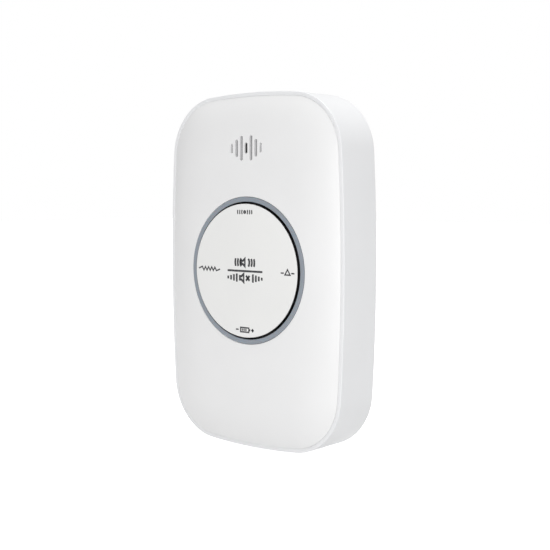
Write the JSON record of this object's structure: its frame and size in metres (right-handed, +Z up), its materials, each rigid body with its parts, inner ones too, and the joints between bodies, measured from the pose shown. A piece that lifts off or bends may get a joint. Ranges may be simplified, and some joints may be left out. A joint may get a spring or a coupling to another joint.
{
  "type": "carbon monoxide detector",
  "caption": "Wall-mounted carbon monoxide detector: crowned rounded case, round press button in a light ring, vertical sound slots, hook-on bracket and rear battery door.",
  "frame": {"origin": "On the wall plane, at the middle of the case seen from the front, on the back face of the wall bracket", "axes": "+X to the right seen from the front, +Z up along the case, +Y into the wall; the front faces -Y"},
  "size_m": [0.083, 0.0244, 0.13],
  "materials": {
    "case_white": "satin white moulded plastic with a very fine texture",
    "panel_white": "satin white moulded plastic with a very fine texture",
    "bracket_white": "matt white moulded plastic",
    "door_white": "satin white moulded plastic",
    "button_white": "smooth matt white plastic with printed marks",
    "mark_ink": "pad-printed symbols on the button",
    "ring_grey": "frosted blue-grey light guide, unlit",
    "well_black": "matt black plastic",
    "spring_steel": "drawn wire",
    "board_green": "green solder mask",
    "led_lens": "clear yellow lens",
    "chip_black": "moulded epoxy",
    "ferrite": "grey ferrite",
    "capacitor_can": "sleeved aluminium",
    "switch_black": "moulded",
    "plunger_white": "moulded",
    "sensor_steel": "drawn can",
    "filter_black": "moulded",
    "gold_plate": "plated",
    "horn_black": "moulded",
    "piezo_brass": "rolled sheet",
    "piezo_ceramic": "silvered ceramic",
    "gasket_foam": "closed-cell foam",
    "mesh_grey": "fine woven mesh",
    "cell_wrap": "printed sleeve without lettering",
    "nickel_plate": "nickel-plated spring strip",
    "screw_zinc": "zinc-plated"
  },
  "bodies": {
    "bracket": {"wall_bracket": "bracket_white"},
    "detector": {"rear_housing": "case_white", "front_panel": "panel_white", "light_ring": "ring_grey", "button_well": "well_black", "button_springs": "spring_steel", "circuit_board": "board_green", "ring_leds": "led_lens", "board_components": "chip_black", "microcontroller": "chip_black", "horn_coil": "ferrite", "capacitors": "capacitor_can", "tact_switch": "switch_black", "sensor_can": "sensor_steel", "sensor_filter_cap": "filter_black", "sensor_pins": "gold_plate", "horn_housing": "horn_black", "piezo_disc": "piezo_brass", "piezo_ceramic": "piezo_ceramic", "horn_contacts": "gold_plate", "horn_gasket": "gasket_foam", "dust_mesh": "mesh_grey", "battery_upper": "cell_wrap", "battery_lower": "cell_wrap", "contact_positive": "nickel_plate", "contact_negative": "nickel_plate", "contact_link": "nickel_plate", "battery_springs": "spring_steel", "case_screws": "screw_zinc"},
    "button": {"button_cap": "button_white", "button_carrier": "well_black"},
    "plunger": {"switch_plunger": "plunger_white"},
    "door": {"battery_door": "door_white"}
  },
  "joints": [
    {"name": "detector_lift", "type": "slide", "parent": "bracket", "child": "detector", "axis": [0, 0, 1], "range_m": [0, 0.008]},
    {"name": "test_button_press", "type": "slide", "parent": "detector", "child": "button", "axis": [0, 1, 0], "range_m": [0, 0.0006], "stiffness_N_per_m": 400, "springref_m": -0.002, "deforming": ["button_springs"]},
    {"name": "switch_press", "type": "slide", "parent": "detector", "child": "plunger", "axis": [0, 1, 0], "range_m": [0, 0.0006]},
    {"name": "battery_door_swing", "type": "hinge", "parent": "detector", "child": "door", "pos_m": [-0.031, -0.0017, -0.042], "axis": [0, 0, 1], "range_deg": [0, 95]}
  ],
  "couplings": [
    {"joint": "switch_press", "follows": "test_button_press", "ratio": 1}
  ]
}
